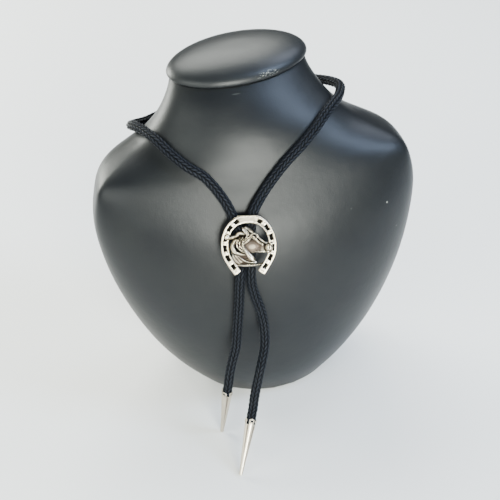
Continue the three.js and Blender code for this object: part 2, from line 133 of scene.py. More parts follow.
def make_camera():
    """A long lens, aimed by hand so that the roll and the shift can be set too."""
    right = Vector((math.cos(AZIMUTH), math.sin(AZIMUTH), 0))
    back = Vector((
        math.sin(AZIMUTH) * math.cos(ELEVATION),
        -math.cos(AZIMUTH) * math.cos(ELEVATION),
        math.sin(ELEVATION),
    ))
    up = back.cross(right)
    rolled_right = right * math.cos(ROLL) + up * math.sin(ROLL)
    rolled_up = up * math.cos(ROLL) - right * math.sin(ROLL)
    camera = bpy.data.objects.new("camera", bpy.data.cameras.new("camera"))
    camera.data.lens, camera.data.sensor_width = LENS, SENSOR
    camera.data.shift_x, camera.data.shift_y = SHIFT
    camera.data.clip_start, camera.data.clip_end = SEEN_FROM, SEEN_TO
    axes = Matrix((rolled_right, rolled_up, back)).transposed()
    camera.matrix_world = Matrix.Translation(LOOK_AT + back * DISTANCE) @ axes.to_4x4()
    bpy.context.scene.collection.objects.link(camera)
    bpy.context.scene.camera = camera


make_camera()
print("camera at", [round(v, 3) for v in bpy.context.scene.camera.location])

# %% [markdown]
# The cord is a round black braid, a little under a quarter of an inch thick. It runs from the
# clip behind the slide, round the back of the neck and back, and its two ends hang to the tips. A
# cord is a soft thing with a route of its own, so its line is a list of given points.

# %% The cord's routes
CORD_RADIUS = 2.85 * MM
SPAN_SAMPLES = 40
ROUTES = {
    "cord_neck_loop": [
        (-0.0174, -0.0503, 0.1244), (-0.0171, -0.0488, 0.1268), (-0.0169, -0.0461, 0.1310),
        (-0.0181, -0.0431, 0.1352), (-0.0193, -0.0397, 0.1399), (-0.0227, -0.0349, 0.1475),
        (-0.0314, -0.0270, 0.1588), (-0.0404, -0.0218, 0.1644), (-0.0475, -0.0150, 0.1692),
        (-0.0547, -0.0047, 0.1739), (-0.0610, 0.0080, 0.1742), (-0.0650, 0.0165, 0.1720),
        (-0.0658, 0.0250, 0.1673), (-0.0625, 0.0320, 0.1635), (-0.0560, 0.0375, 0.1610),
        (-0.0460, 0.0425, 0.1610), (-0.0300, 0.0452, 0.1630), (-0.0100, 0.0460, 0.1660),
        (0.0100, 0.0462, 0.1685), (0.0280, 0.0452, 0.1705), (0.0420, 0.0415, 0.1725),
        (0.0505, 0.0350, 0.1743), (0.0560, 0.0270, 0.1765), (0.0583, 0.0185, 0.1785),
        (0.0566, 0.0110, 0.1794), (0.0537, 0.0048, 0.1796), (0.0486, -0.0024, 0.1797),
        (0.0433, -0.0082, 0.1782), (0.0349, -0.0160, 0.1735), (0.0258, -0.0220, 0.1680),
        (0.0153, -0.0269, 0.1613), (0.0060, -0.0314, 0.1538), (-0.0017, -0.0360, 0.1466),
        (-0.0070, -0.0410, 0.1413), (-0.0092, -0.0445, 0.1355), (-0.0106, -0.0472, 0.1309),
        (-0.0112, -0.0499, 0.1267), (-0.0115, -0.0514, 0.1243),
    ],
    "cord_end_left": [
        (-0.0175, -0.0506, 0.1240), (-0.0180, -0.0531, 0.1201), (-0.0187, -0.0562, 0.1150),
        (-0.0193, -0.0579, 0.1100), (-0.0200, -0.0582, 0.1045), (-0.0211, -0.0590, 0.0930),
        (-0.0225, -0.0598, 0.0806), (-0.0236, -0.0607, 0.0718), (-0.0253, -0.0623, 0.0604),
        (-0.0282, -0.0644, 0.0522), (-0.0307, -0.0670, 0.0448), (-0.0323, -0.0690, 0.0384),
        (-0.0332, -0.0692, 0.0334), (-0.0337, -0.0693, 0.0303),
    ],
    "cord_end_right": [
        (-0.0116, -0.0517, 0.1239), (-0.0122, -0.0541, 0.1200), (-0.0130, -0.0573, 0.1149),
        (-0.0136, -0.0590, 0.1095), (-0.0135, -0.0592, 0.1040), (-0.0120, -0.0599, 0.0950),
        (-0.0100, -0.0608, 0.0870), (-0.0085, -0.0616, 0.0784), (-0.0081, -0.0639, 0.0696),
        (-0.0093, -0.0683, 0.0620), (-0.0118, -0.0726, 0.0562), (-0.0145, -0.0765, 0.0500),
        (-0.0171, -0.0792, 0.0426), (-0.0191, -0.0812, 0.0355), (-0.0210, -0.0837, 0.0278),
        (-0.0227, -0.0868, 0.02425), (-0.0238, -0.0888, 0.0220),
    ],
}


def smooth_line(points, spacing):
    """A smooth curve through the points, with even steps of about the spacing along it."""
    p = np.array(points)
    p = np.vstack([2 * p[0] - p[1], p, 2 * p[-1] - p[-2]])
    pieces = []
    t = np.linspace(0, 1, SPAN_SAMPLES, endpoint=False)[:, None]
    for a, b, c, d in zip(p, p[1:], p[2:], p[3:]):
        ab, bc, cd = (math.sqrt(np.linalg.norm(v)) for v in (b - a, c - b, d - c))
        start = ((b - a) / ab - (c - a) / (ab + bc) + (c - b) / bc) * bc
        end = ((c - b) / bc - (d - b) / (bc + cd) + (d - c) / cd) * bc
        pieces.append(
            (2 * t**3 - 3 * t**2 + 1) * b + (t**3 - 2 * t**2 + t) * start
            + (3 * t**2 - 2 * t**3) * c + (t**3 - t**2) * end
        )
    dense = np.vstack([*pieces, p[-2][None]])
    along = np.concatenate([[0], np.cumsum(np.linalg.norm(np.diff(dense, axis=0), axis=1))])
    steps = max(2, round(along[-1] / spacing))
    even = np.linspace(0, along[-1], steps + 1)
    line = np.column_stack([np.interp(even, along, dense[:, k]) for k in range(3)])
    return line, even


for name, points in ROUTES.items():
    print(name, "runs through", len(points), "points")

# %% [markdown]
# The braid is drawn into the tube itself. Eight columns of picks run round it, leaning left and
# right by turns, with a furrow between one pick and the next and between the columns. An
# attribute keeps how high each point of a pick stands, for the painted sheen on the crowns and
# the painted shade in the furrows, and another how far it lies across the pick, so that the
# yarns can be shaded along it.

# %% The braided tubes
BRAID_COLUMNS = 8
BRAID_AROUND = 48
BRAID_STEP = 0.30 * MM
PICK_PITCH = 3.0 * MM
PICK_LEAN = 0.55  # of a pitch, from a pick's middle to its end
FURROW = 0.8 * MM
CROWN_LIFT = 0.15 * MM
# Powers and a share: how flat a pick is on top, how soft its sides are, and how it ends.
PICK_FLATNESS, PICK_SOFTNESS = 2.4, 0.7
END_DIP, END_FLATNESS = 0.8, 3.2


def braid_height(turn, along):
    """How high the braid stands, from 0 in a furrow to 1, and the place across the pick."""
    column = np.floor(turn)
    x = 2 * (turn - column) - 1
    side = 1 - 2 * (column % 2)
    across = along / PICK_PITCH + PICK_LEAN * side * x + 0.5 * (column % 2)
    w = 2 * (across - np.floor(across)) - 1
    pick = (1 - np.abs(w) ** PICK_FLATNESS) ** PICK_SOFTNESS
    return pick * (1 - END_DIP * np.abs(x) ** END_FLATNESS), across


def travel_frames(line):
    """Two directions square to the line at each point, carried along it without twist."""
    ahead = np.gradient(line, axis=0)
    ahead /= np.linalg.norm(ahead, axis=1)[:, None]
    first = np.cross(ahead[0], (0, 0, 1.0))
    sides = [first / np.linalg.norm(first)]
    for direction in ahead[1:]:
        side = sides[-1] - direction * (sides[-1] @ direction)
        sides.append(side / np.linalg.norm(side))
    sides = np.array(sides)
    return sides, np.cross(ahead, sides)


def braided_tube(name):
    """One stretch of cord as a closed tube of rings with the braid in its surface."""
    line, along = smooth_line(ROUTES[name], BRAID_STEP)
    side, up = travel_frames(line)
    turn = np.arange(BRAID_AROUND) / BRAID_AROUND * BRAID_COLUMNS
    angle = turn / BRAID_COLUMNS * 2 * math.pi
    height, across = braid_height(turn[None, :], along[:, None])
    radius = CORD_RADIUS + CROWN_LIFT - FURROW * (1 - height)
    cosine, sine = np.cos(angle)[None, :, None], np.sin(angle)[None, :, None]
    outward = side[:, None] * cosine + up[:, None] * sine
    points = (line[:, None] + outward * radius[..., None]).reshape(-1, 3)
    rings, count = len(line), BRAID_AROUND
    i, j = np.meshgrid(np.arange(rings - 1), np.arange(count), indexing="ij")
    a = i * count + j
    b = i * count + (j + 1) % count
    faces = np.stack([a, b, b + count, a + count], axis=-1).reshape(-1, 4).tolist()
    faces += [list(range(count))[::-1], list(range((rings - 1) * count, rings * count))]
    mesh = bpy.data.meshes.new(name + "_braid")
    mesh.from_pydata(points.tolist(), [], faces)
    for label, values in (("pick_height", height), ("pick_across", across)):
        values = np.broadcast_to(values, (rings, count)).astype(np.float32)
        mesh.attributes.new(label, "FLOAT", "POINT").data.foreach_set("value", values.ravel())
    mesh.update()
    obj = bpy.data.objects.new(name + "_braid", mesh)
    bpy.context.scene.collection.objects.link(obj)
    only(obj)
    bpy.ops.object.mode_set(mode="EDIT")
    bpy.ops.mesh.select_all(action="SELECT")
    bpy.ops.mesh.normals_make_consistent(inside=False)
    bpy.ops.object.mode_set(mode="OBJECT")
    bpy.ops.object.shade_smooth()
    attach(obj, "root")
    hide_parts(name)
    return obj, line, float(along[-1])


cords = {name: braided_tube(name) for name in ROUTES}
for name, (obj, line, length) in cords.items():
    print(name, "length", round(length, 4), "m,", count_triangles(obj), "triangles")

# %% [markdown]
# Braided nylon: many fine filaments in each yarn. A bluish-grey sheen is painted on the picks'
# crowns, and painted shade keeps the furrows between them black.


# %% Braided nylon
YARNS_IN_A_PICK = 6
FUZZ = 1.1 * MM


def braided_nylon():
    """Black yarns with painted grey sheen on crowns, painted shade in furrows, fine uneven fuzz."""
    material = new_material("braided_nylon")
    height = add_node(
        material, "ShaderNodeAttribute", {"attribute_name": "pick_height"}).outputs["Fac"]
    across = add_node(
        material, "ShaderNodeAttribute", {"attribute_name": "pick_across"}).outputs["Fac"]
    yarn_phase = add_node(
        material, "ShaderNodeMath", {"operation": "MULTIPLY"}, {1: 2 * math.pi * YARNS_IN_A_PICK},
        {0: across})
    yarns = add_node(
        material, "ShaderNodeMath", {"operation": "SINE"}, links={0: yarn_phase.outputs[0]})
    where = add_node(material, "ShaderNodeTexCoord").outputs["Object"]
    fuzz = add_node(
        material, "ShaderNodeTexNoise", values={"Scale": 1 / FUZZ, "Detail": 3},
        links={"Vector": where})
    lifted = add_node(
        material, "ShaderNodeMath", {"operation": "MULTIPLY_ADD"}, {1: 0.12},
        {0: yarns.outputs[0], 2: height})
    mixed = add_node(
        material, "ShaderNodeMath", {"operation": "MULTIPLY_ADD"}, {1: 0.5},
        {0: fuzz.outputs["Fac"], 2: lifted.outputs[0]})
    # Painted sheen and shade: grey on the picks' crowns, black in the furrows between them.
    painted_sheen_and_shade = add_node(material, "ShaderNodeValToRGB", links={"Fac": mixed.outputs[0]})
    stops = painted_sheen_and_shade.color_ramp
    stops.elements[0].position, stops.elements[0].color = 0.72, hex_colour("#010102")
    stops.elements[1].position, stops.elements[1].color = 1.0, hex_colour("#1b1e24")
    bump = add_node(
        material, "ShaderNodeBump", values={"Strength": 0.5, "Distance": 0.08 * MM},
        links={"Height": lifted.outputs[0]})
    rough = add_node(
        material, "ShaderNodeMapRange", values={"From Min": 0.5, "From Max": 1.2,
                                                "To Min": 0.85, "To Max": 0.3},
        links={"Value": mixed.outputs[0]})
    shader = add_node(
        material, "ShaderNodeBsdfPrincipled", values={"Specular IOR Level": 0.08},
        links={
            "Base Color": painted_sheen_and_shade.outputs["Color"],
            "Roughness": rough.outputs["Result"],
            "Normal": bump.outputs["Normal"],
        })
    return close_material(material, shader)


nylon = braided_nylon()
for obj, _, _ in cords.values():
    obj.data.materials.append(nylon)
print("material:", nylon.name)

# %% [markdown]
# The bust is a hard form drawn over with leatherette, so it has no creases, only long smooth
# curves. A copy of its solid is merged, its triangles are paired into squares, and a subdivision
# surface rounds them, with the edge of the flat base and the rim under the cap kept sharp.


# %% Bust and cap
MERGE_WITHIN = 0.002 * MM
RING_WITHIN = 0.1 * MM
AXIS_WITHIN = 1 * MM
SHARPNESS = 0.9


def merged_copy(node, name):
    """A copy of a solid's mesh under a new name, with its loose triangles joined."""
    copy = bpy.data.objects.new(name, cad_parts[node].data.copy())
    copy.data.materials.clear()
    bpy.context.scene.collection.objects.link(copy)
    only(copy)
    bpy.ops.object.mode_set(mode="EDIT")
    bpy.ops.mesh.select_all(action="SELECT")
    bpy.ops.mesh.remove_doubles(threshold=MERGE_WITHIN)
    bpy.ops.object.mode_set(mode="OBJECT")
    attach(copy, "root")
    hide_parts(node)
    return copy


def round_form(obj, sharp_heights):
    """Pairs triangles into squares, creases the rings at the given heights and subdivides."""
    only(obj)
    bpy.ops.object.mode_set(mode="EDIT")
    bpy.ops.mesh.select_all(action="SELECT")
    bpy.ops.mesh.tris_convert_to_quads(face_threshold=math.pi, shape_threshold=math.pi)
    bpy.ops.object.mode_set(mode="OBJECT")
    mesh = obj.data
    crease = mesh.attributes.new("crease_edge", "FLOAT", "EDGE")
    for edge in mesh.edges:
        ends = [mesh.vertices[v].co for v in edge.vertices]
        for height in sharp_heights:
            if all(abs(end.z - height) < RING_WITHIN for end in ends):
                spoke = min(Vector(end.xy).length for end in ends) < AXIS_WITHIN
                crease.data[edge.index].value = 0 if spoke else SHARPNESS
    apply_modifier(obj, "SUBSURF", levels=2, render_levels=2)
    only(obj)
    bpy.ops.object.shade_smooth()


bust = merged_copy("neck_bust", "bust_cover")
round_form(bust, [corner.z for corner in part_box("neck_bust")])
cap = merged_copy("neck_cap", "cap_cover")
round_form(cap, [])
print("bust:", count_triangles(bust), "cap:", count_triangles(cap))

# %% [markdown]
# Leatherette is a soft vinyl skin pressed with a fine pebble grain. It gives a broad, soft gloss
# that the grain breaks up a little, over a nearly black body. The skin is rubbed pale on the
# cap's front, scratched just below it and flecked on the right of the chest.


# %% Leatherette
RUBBED_PALE = "#8b8d88"
PEBBLE, RIPPLE, MOTTLE = 0.9 * MM, 7 * MM, 28 * MM


def worn_patch(material, where, middle, size, grain, amount):
    """How worn the skin is: a soft oval round a place, broken up by a noise if it has a grain."""
    away = add_node(
        material, "ShaderNodeVectorMath", {"operation": "SUBTRACT"}, {1: middle}, {0: where})
    scaled = add_node(
        material, "ShaderNodeVectorMath", {"operation": "DIVIDE"}, {1: size},
        {0: away.outputs["Vector"]})
    far = add_node(
        material, "ShaderNodeVectorMath", {"operation": "LENGTH"},
        links={0: scaled.outputs["Vector"]})
    inside = add_node(
        material, "ShaderNodeMapRange", {"interpolation_type": "SMOOTHSTEP"},
        {"From Min": 1.0, "From Max": 0.4, "To Max": amount}, {"Value": far.outputs["Value"]})
    if not grain:
        return inside.outputs["Result"]
    speckle = add_node(
        material, "ShaderNodeTexNoise", values={"Scale": 1 / grain, "Detail": 3},
        links={"Vector": where})
    bare = add_node(
        material, "ShaderNodeMapRange", {"interpolation_type": "SMOOTHSTEP"},
        {"From Min": 0.52, "From Max": 0.68}, {"Value": speckle.outputs["Fac"]})
    return add_node(
        material, "ShaderNodeMath", {"operation": "MULTIPLY"},
        links={0: inside.outputs["Result"], 1: bare.outputs["Result"]}).outputs[0]


def leatherette(name, body, sheen, gloss, worn):
    """The skin, between two dark tones, with its grain, its gloss and its worn patches."""
    material = new_material(name)
    where = add_node(material, "ShaderNodeTexCoord").outputs["Object"]
    pebbles = add_node(
        material, "ShaderNodeTexVoronoi", {"feature": "SMOOTH_F1"},
        {"Scale": 1 / PEBBLE, "Smoothness": 0.6}, {"Vector": where})
    wear = add_node(
        material, "ShaderNodeTexNoise", values={"Scale": 1 / MOTTLE, "Detail": 4},
        links={"Vector": where})
    tint = add_node(material, "ShaderNodeValToRGB", links={"Fac": wear.outputs["Fac"]})
    tint.color_ramp.elements[0].position = 0.3
    tint.color_ramp.elements[0].color = hex_colour(body)
    tint.color_ramp.elements[1].position = 0.75
    tint.color_ramp.elements[1].color = hex_colour(sheen)
    rough = add_node(
        material, "ShaderNodeMapRange", values={"To Min": 0.36, "To Max": 0.44},
        links={"Value": wear.outputs["Fac"]})
    stretch = add_node(
        material, "ShaderNodeTexNoise", values={"Scale": 1 / RIPPLE, "Detail": 5},
        links={"Vector": where})
    ripples = add_node(
        material, "ShaderNodeBump", values={"Strength": 0.5, "Distance": 0.25 * MM},
        links={"Height": stretch.outputs["Fac"]})
    bump = add_node(
        material, "ShaderNodeBump", values={"Strength": 0.35, "Distance": 0.05 * MM},
        links={"Height": pebbles.outputs["Distance"], "Normal": ripples.outputs["Normal"]})
    tone = tint.outputs["Color"]
    for patch in worn:
        share = worn_patch(material, where, **patch)
        tone = add_node(
            material, "ShaderNodeMix", {"data_type": "RGBA"}, {7: hex_colour(RUBBED_PALE)},
            {0: share, 6: tone}).outputs[2]
    shader = add_node(
        material, "ShaderNodeBsdfPrincipled", values={"Specular IOR Level": gloss},
        links={
            "Base Color": tone,
            "Roughness": rough.outputs["Result"],
            "Normal": bump.outputs["Normal"],
        })
    return close_material(material, shader)


# Where the skin is flecked, scratched or rubbed: the middle and half size of each oval, in metres.
BUST_WEAR = [
    {"middle": (0.0739, -0.0319, 0.1260), "size": (0.0008, 0.0015, 0.0008), "grain": None,
     "amount": 0.7},
    {"middle": (0.0801, -0.0321, 0.1078), "size": (0.0008, 0.0015, 0.0006), "grain": None,
     "amount": 0.15},
    {"middle": (0.0508, -0.0373, 0.1294), "size": (0.0006, 0.0015, 0.0006), "grain": None,
     "amount": 0.1},
    {"middle": (-0.0068, 0, 0.1939), "size": (0.0032, 0.003, 0.0003), "grain": None,
     "amount": 0.12},
]
CAP_WEAR = [
    {"middle": (0.0128, 0.0062, 0.2004), "size": (0.0095, 0.006, 0.0026), "grain": 0.8 * MM,
     "amount": 0.9},
]
bust.data.materials.append(
    leatherette("bust_leatherette", "#111316", "#17191a", 0.26, BUST_WEAR))
cap.data.materials.append(
    leatherette("cap_leatherette", "#15171a", "#1a1c1d", 0.32, CAP_WEAR))
print("worn places:", len(BUST_WEAR), "on the bust,", len(CAP_WEAR), "on the cap")

# %% [markdown]
# Cast metal has no knife edges. The parts of a casting are joined, remeshed into fine even
# squares and smoothed, and each point then keeps how deep it lies in the relief.

# %% More helpers for castings
def soften(obj, voxel, rounds):
    """Remeshes a casting into even squares, so that its edges come out soft."""
    apply_modifier(obj, "REMESH", mode="VOXEL", voxel_size=voxel)
    apply_modifier(obj, "SMOOTH", factor=0.5, iterations=rounds)
    only(obj)
    bpy.ops.object.shade_smooth()


def join_into(body, parts):
    """Makes the parts one object with the body."""
    deselect()
    for part in parts:
        part.select_set(True)
    body.select_set(True)
    bpy.context.view_layer.objects.active = body
    bpy.ops.object.join()


def relief_depths(obj, rounds):
    """Stores how far each point stands out of, or lies in, its smoothed neighbourhood."""
    mesh = obj.data
    points = np.empty(len(mesh.vertices) * 3, np.float32)
    mesh.vertices.foreach_get("co", points)
    points = points.reshape(-1, 3).astype(float)
    normals = np.empty(len(mesh.vertices) * 3, np.float32)
    mesh.vertices.foreach_get("normal", normals)
    normals = normals.reshape(-1, 3)
    edges = np.empty(len(mesh.edges) * 2, np.int32)
    mesh.edges.foreach_get("vertices", edges)
    a, b = edges.reshape(-1, 2).T
    share = np.bincount(np.concatenate([a, b]), minlength=len(points))[:, None]
    smooth = points.copy()
    for _ in range(rounds):
        total = np.zeros_like(smooth)
        for k in range(3):
            total[:, k] = np.bincount(a, smooth[b, k], len(points))
            total[:, k] += np.bincount(b, smooth[a, k], len(points))
        smooth = total / share
    depth = ((points - smooth) * normals).sum(axis=1) / MM
    mesh.attributes.new("relief", "FLOAT", "POINT").data.foreach_set(
        "value", depth.astype(np.float32))


print("castings' helpers ready")

# %% [markdown]
# The slide is one antique-finished casting, a horse's head inside a horseshoe. It leans with the
# chest and turns a little to the left.

# %% The slide's place
SLIDE_MIDDLE = (-0.0129, -0.0528, 0.1276)
SLIDE_HEADING, SLIDE_LEAN, SLIDE_ROLL = -10, 33, -1
SLIDE_PLACE = (
    Matrix.Translation(SLIDE_MIDDLE)
    @ Matrix.Rotation(math.radians(SLIDE_HEADING), 4, "Z")
    @ Matrix.Rotation(math.radians(90 - SLIDE_LEAN), 4, "X")
    @ Matrix.Rotation(math.radians(SLIDE_ROLL), 4, "Z")
)
print("slide's middle at", [round(v, 4) for v in SLIDE_PLACE.translation])

# %% [markdown]
# The finer relief is laid on the copy before it is remeshed. It is placed in the slide's own
# frame, in millimetres from its middle, with the face of the shoe at 3. Bars part the nail holes,
# studs sit along the bridle, and hair and mane are strands that narrow at both ends.

# %% Finer relief of the slide
FACE = 3.0
BAR_SIZE, BAR_SUNK = (2.3, 1.6, 1.3), 0.62
STUD_SIZE, STUD_HEIGHT, STUD_TURN = (0.4, 1.2, 1.6), 3.2, -34
STRAND_WIDTH, STRAND_TAPER = 0.3, 0.45
CASTING_VOXEL, CASTING_ROUNDS, CASTING_SPREAD = 0.2 * MM, 2, 20
# Each bar's place on the right side of the shoe, and its turn in degrees.
BARS = [(8.54, 11.49, -42), (11.89, 6.77, -67), (13.28, 1.12, -86), (12.85, -4.69, -105),
        (10.38, -9.98, -120)]
BEADS = [
    {"of": "eye", "at": (4.1, 2.9, 3.6), "size": (0.85, 0.55, 0.6), "turn": -30},
    {"of": "brow", "at": (3.0, 4.3, 3.3), "size": (0.9, 0.4, 0.5), "turn": -35},
    {"of": "leaf of the lock", "at": (0.7, -6.7, 3.5), "size": (3.6, 1.35, 1.1), "turn": -50},
    {"of": "tuft's bulb", "at": (-12.0, 4.6, 3.7), "size": (1.6, 1.25, 0.95), "turn": 20},
    {"of": "corner of the mouth", "at": (4.5, -2.7, 2.9), "size": (0.36, 0.36, 0.3), "turn": 0},
    {"of": "corner of the mouth", "at": (5.6, -2.6, 2.6), "size": (0.36, 0.36, 0.3), "turn": 0},
    {"of": "corner of the mouth", "at": (5.1, -3.5, 2.4), "size": (0.36, 0.36, 0.3), "turn": 0},
    {"of": "fill of the neck", "at": (-5.0, -0.5, 1.9), "size": (2.6, 3.6, 0.9), "turn": 0},
    {"of": "fill of the breast", "at": (-6.0, -7.6, 1.9), "size": (3.4, 2.0, 0.9), "turn": -50},
    {"of": "fill over the ledge", "at": (0.3, -9.6, 1.9), "size": (4.2, 1.3, 0.8), "turn": -12},
    {"of": "upper lip", "at": (12.6, 0.1, 3.7), "size": (1.0, 0.5, 0.5), "turn": -25},
]
RINGS = [
    {"of": "nostril", "at": (11.5, -1.8, 4.25), "radius": 0.8, "wire": 0.3},
    {"of": "tuft's curl", "at": (-12.1, 4.6, 4.5), "radius": 0.62, "wire": 0.24},
]
STUDS = [(4.9, 1.75), (5.85, 1.15), (6.8, 0.5), (7.7, -0.1)]
STRANDS = [
    [(-3.5, 9.0, 3.4), (-2.0, 6.7, 3.6), (-0.4, 4.5, 3.7)],
    [(-2.0, 10.0, 3.2), (-0.9, 7.7, 3.6), (0.3, 5.3, 3.8)],
    [(-1.9, 10.1, 3.1), (0.2, 8.4, 3.3), (1.9, 6.2, 3.5)],
    [(1.6, 5.5, 4.0), (-0.7, 3.4, 4.0), (-3.3, 1.0, 3.7)],
    [(2.0, 6.2, 3.4), (4.2, 6.0, 3.4), (6.0, 4.9, 3.1)],
    [(-8.8, -0.5, 3.4), (-8.3, -3.2, 3.4), (-5.2, -5.4, 3.3)],
    [(-6.4, 3.4, 3.5), (-7.3, 0.2, 3.6), (-6.2, -2.6, 3.6)],
    [(-4.3, 2.6, 3.9), (-5.6, 0.6, 3.9), (-4.8, -2.2, 3.8)],
    [(-2.9, 2.2, 4.4), (-3.3, 0.0, 4.6), (-2.2, -2.9, 4.6)],
    [(-6.5, -5.8, 3.4), (-3.9, -8.6, 3.5), (-0.2, -10.0, 3.4)],
    [(-8.9, -6.0, 2.9), (-7.6, -8.9, 2.9), (-4.8, -11.0, 2.9)],
    [(-6.0, -11.3, 3.2), (0.5, -11.8, 3.3), (7.5, -11.2, 3.2)],
]


def turned_on(place, turn):
    """A place in the slide's frame, turned about its face."""
    spot = Matrix.Translation(Vector(place) * MM)
    return SLIDE_PLACE @ spot @ Matrix.Rotation(math.radians(turn), 4, "Z")


def bead(at, size, turn):
    """An oval bead with the given half sizes."""
    deselect()
    bpy.ops.mesh.primitive_uv_sphere_add(segments=24, ring_count=12, radius=1)
    made = bpy.context.active_object
    made.matrix_world = turned_on(at, turn) @ Matrix.Diagonal((*(v * MM for v in size), 1))
    return made


def block(at, size, turn):
    """A square block with the given whole sizes."""
    deselect()
    bpy.ops.mesh.primitive_cube_add(size=1)
    made = bpy.context.active_object
    made.matrix_world = turned_on(at, turn) @ Matrix.Diagonal((*(v * MM for v in size), 1))
    return made


def wire_ring(at, radius, wire):
    """A flat ring of round wire."""
    deselect()
    bpy.ops.mesh.primitive_torus_add(major_radius=radius * MM, minor_radius=wire * MM,
                                     major_segments=24, minor_segments=8)
    made = bpy.context.active_object
    made.matrix_world = turned_on(at, 0)
    return made


def strand(points, width):
    """A thin raised strand of hair through three points, narrower at both ends."""
    curve = bpy.data.curves.new("strand", "CURVE")
    curve.dimensions, curve.bevel_depth, curve.bevel_resolution = "3D", width * MM, 2
    line = curve.splines.new("NURBS")
    line.points.add(len(points) - 1)
    line.use_endpoint_u, line.order_u, line.resolution_u = True, 3, 10
    for k, (spot, place) in enumerate(zip(line.points, points)):
        spot.co = (*(Vector(place) * MM), 1)
        spot.radius = 1 if 0 < k < len(points) - 1 else STRAND_TAPER
    made = bpy.data.objects.new("strand", curve)
    bpy.context.scene.collection.objects.link(made)
    made.matrix_world = SLIDE_PLACE
    curve.use_fill_caps = True
    only(made)
    bpy.ops.object.convert(target="MESH")
    return bpy.context.active_object


slide = merged_copy("slide", "slide_casting")
parts = [bead(each["at"], each["size"], each["turn"]) for each in BEADS]
parts += [wire_ring(each["at"], each["radius"], each["wire"]) for each in RINGS]
parts += [block((x, y, STUD_HEIGHT), STUD_SIZE, STUD_TURN) for x, y in STUDS]
for x, y, turn in BARS:
    parts += [block((side * x, y, FACE - BAR_SUNK), BAR_SIZE, side * turn) for side in (-1, 1)]
parts += [strand(points, STRAND_WIDTH) for points in STRANDS]
join_into(slide, parts)
soften(slide, CASTING_VOXEL, CASTING_ROUNDS)
relief_depths(slide, CASTING_SPREAD)
print("relief pieces:", len(parts))

# %% [markdown]
# The nail grooves are filled with black, whatever their depth, and the horse's cheek and breast
# have dulled to a greyish brown. Both are kept as attributes of the mesh for the metal to use.

# %% Blackened grooves and the tarnished cheek
GROOVE = np.array([(6.14, 13.12), (8.54, 11.49), (10.48, 9.32), (11.89, 6.77), (12.84, 4.01),
                   (13.28, 1.12), (13.30, -1.81), (12.85, -4.69), (11.81, -7.41), (10.38, -9.98),
                   (8.42, -13.1)])
GROOVE_HALF, GROOVE_SUNK, GROOVE_RELIEF = 1.2, 0.14, -0.3
FRONT_FROM = 1
# The hole nearest the toe is a turned square.
SQUARE = {"x": 6.3, "y": 13.0, "turn": -28, "half_length": 1.2, "half_width": 1.12}
# Ovals of tarnish, soft toward their edges, that fade out toward the highest relief.
TARNISHED = [
    {"of": "cheek", "at": (2.6, -1.3), "reach": (5.2, 3.4), "edge": 1.5, "share": 1.0},
    {"of": "breast", "at": (-4.5, -8.4), "reach": (4.5, 3.4), "edge": 1.4, "share": 0.6},
]
TARNISH_TOP, TARNISH_FADE = 3.6, 0.5


def patina(obj):
    """Adds to the relief the black of the nail grooves, and stores the cheek's tarnish."""
    mesh = obj.data
    points = np.empty(len(mesh.vertices) * 3, np.float32)
    mesh.vertices.foreach_get("co", points)
    to_slide = np.array(SLIDE_PLACE.inverted())
    local = (points.reshape(-1, 3) @ to_slide[:3, :3].T + to_slide[:3, 3]) / MM
    across, y, z = local.T
    x = np.abs(across)
    near = np.full(len(x), np.inf)
    for (ax, ay), (bx, by) in zip(GROOVE, GROOVE[1:]):
        along = ((x - ax) * (bx - ax) + (y - ay) * (by - ay)) / ((bx - ax) ** 2 + (by - ay) ** 2)
        along = np.clip(along, 0, 1)
        near = np.minimum(near, np.hypot(x - ax - along * (bx - ax), y - ay - along * (by - ay)))
    sunk = (near < GROOVE_HALF) & (z < FACE - GROOVE_SUNK)
    turn = math.radians(SQUARE["turn"])
    u, v = x - SQUARE["x"], y - SQUARE["y"]
    sunk |= (np.abs(u * math.cos(turn) + v * math.sin(turn)) < SQUARE["half_length"]) & (
        np.abs(v * math.cos(turn) - u * math.sin(turn)) < SQUARE["half_width"])
    relief = np.empty(len(x), np.float32)
    mesh.attributes["relief"].data.foreach_get("value", relief)
    relief[sunk & (z > FRONT_FROM)] = GROOVE_RELIEF
    mesh.attributes["relief"].data.foreach_set("value", relief)
    tarnish = np.zeros(len(x))
    for each in TARNISHED:
        (middle_x, middle_y), (reach_x, reach_y) = each["at"], each["reach"]
        oval = ((across - middle_x) / reach_x) ** 2 + ((y - middle_y) / reach_y) ** 2
        tarnish = np.maximum(tarnish, each["share"] * np.clip(each["edge"] - oval, 0, 1))
    tarnish *= np.clip((TARNISH_TOP - z) / TARNISH_FADE, 0, 1)
    mesh.attributes.new("tarnish", "FLOAT", "POINT").data.foreach_set(
        "value", tarnish.astype(np.float32))


patina(slide)
print("slide:", count_triangles(slide), "triangles")

# %% [markdown]
# Antiqued silver plate: the recesses are blackened and the raised parts rubbed bright again, so
# the relief reads as light on dark. Tarnish lays a dull brown over both.


# %% Antiqued silver
STAIN = 1.6 * MM


